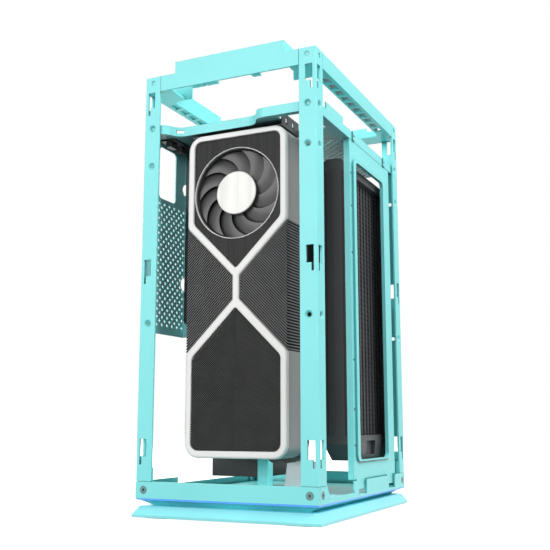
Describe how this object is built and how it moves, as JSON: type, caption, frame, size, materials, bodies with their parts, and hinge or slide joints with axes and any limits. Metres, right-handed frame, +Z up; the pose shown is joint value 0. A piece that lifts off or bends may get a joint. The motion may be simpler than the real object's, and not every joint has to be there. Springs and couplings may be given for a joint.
{
  "type": "computer case",
  "caption": "Upright open-frame small computer case on a flared lit foot, with corner posts, a graphics card behind the front, a side radiator with fans and a power supply.",
  "frame": {"origin": "bottom centre of the bounding box, on the floor under the middle of the foot", "axes": "X runs left to right along the front, Y runs from the front to the back, Z is up"},
  "size_m": [0.2068, 0.2752, 0.4826],
  "materials": {
    "frame_paint": "satin powder coat",
    "foot_plastic": "satin",
    "neck_plastic": "satin",
    "pad_rubber": "matte",
    "strip_light": "glowing diffuser",
    "screw_steel": "satin",
    "card_silver": "satin",
    "card_grey": "satin",
    "panel_dark": "brushed",
    "card_black": "satin",
    "rotor_grey": "satin",
    "fin_black": "matte",
    "board_black": "satin",
    "plain_steel": "satin",
    "supply_black": "satin",
    "radiator_black": "matte",
    "fan_black": "satin"
  },
  "bodies": {
    "case": {"base_pan": "frame_paint", "card_bezel": "card_silver", "card_board": "board_black", "card_bracket": "plain_steel", "fan_cup": "card_black", "fan_panel": "panel_dark", "fan_ring": "card_silver", "fins_left": "fin_black", "fins_right": "fin_black", "floor_bracket": "plain_steel", "foot_pad_front_left": "pad_rubber", "foot_pad_front_right": "pad_rubber", "foot_pad_rear_left": "pad_rubber", "foot_pad_rear_right": "pad_rubber", "front_channel": "radiator_black", "front_port": "plain_steel", "io_shelf": "frame_paint", "light_strip": "strip_light", "lower_fan_frame": "fan_black", "lower_grille": "fin_black", "lower_shell": "card_grey", "lower_tank": "radiator_black", "neck": "neck_plastic", "pan_screws": "screw_steel", "plinth": "foot_plastic", "port_board": "board_black", "post_front_left": "frame_paint", "post_front_right": "frame_paint", "post_rear_left": "frame_paint", "post_rear_right": "frame_paint", "power_supply": "supply_black", "radiator_bracket": "frame_paint", "radiator_core": "radiator_black", "rear_channel": "radiator_black", "rear_port": "plain_steel", "rear_shroud": "card_black", "riser_housing": "card_black", "side_bracket": "frame_paint", "top_frame": "frame_paint", "upper_fan_frame": "fan_black", "upper_shell": "card_grey", "upper_tank": "radiator_black", "upright": "card_black"},
    "card_fan": {"card_rotor": "rotor_grey", "hub_cap": "card_silver"},
    "upper_fan": {"upper_fan_rotor": "fan_black"},
    "lower_fan": {"lower_fan_rotor": "fan_black"}
  },
  "joints": [
    {"name": "card_fan_spin", "type": "hinge", "parent": "case", "child": "card_fan", "pos_m": [0.003, -0.11, 0.3321], "axis": [0, -1, 0], "continuous": true},
    {"name": "upper_fan_spin", "type": "hinge", "parent": "case", "child": "upper_fan", "pos_m": [0.0392, 0.04, 0.2956], "axis": [-1, 0, 0], "continuous": true},
    {"name": "lower_fan_spin", "type": "hinge", "parent": "case", "child": "lower_fan", "pos_m": [0.0392, 0.04, 0.1556], "axis": [-1, 0, 0], "continuous": true}
  ]
}
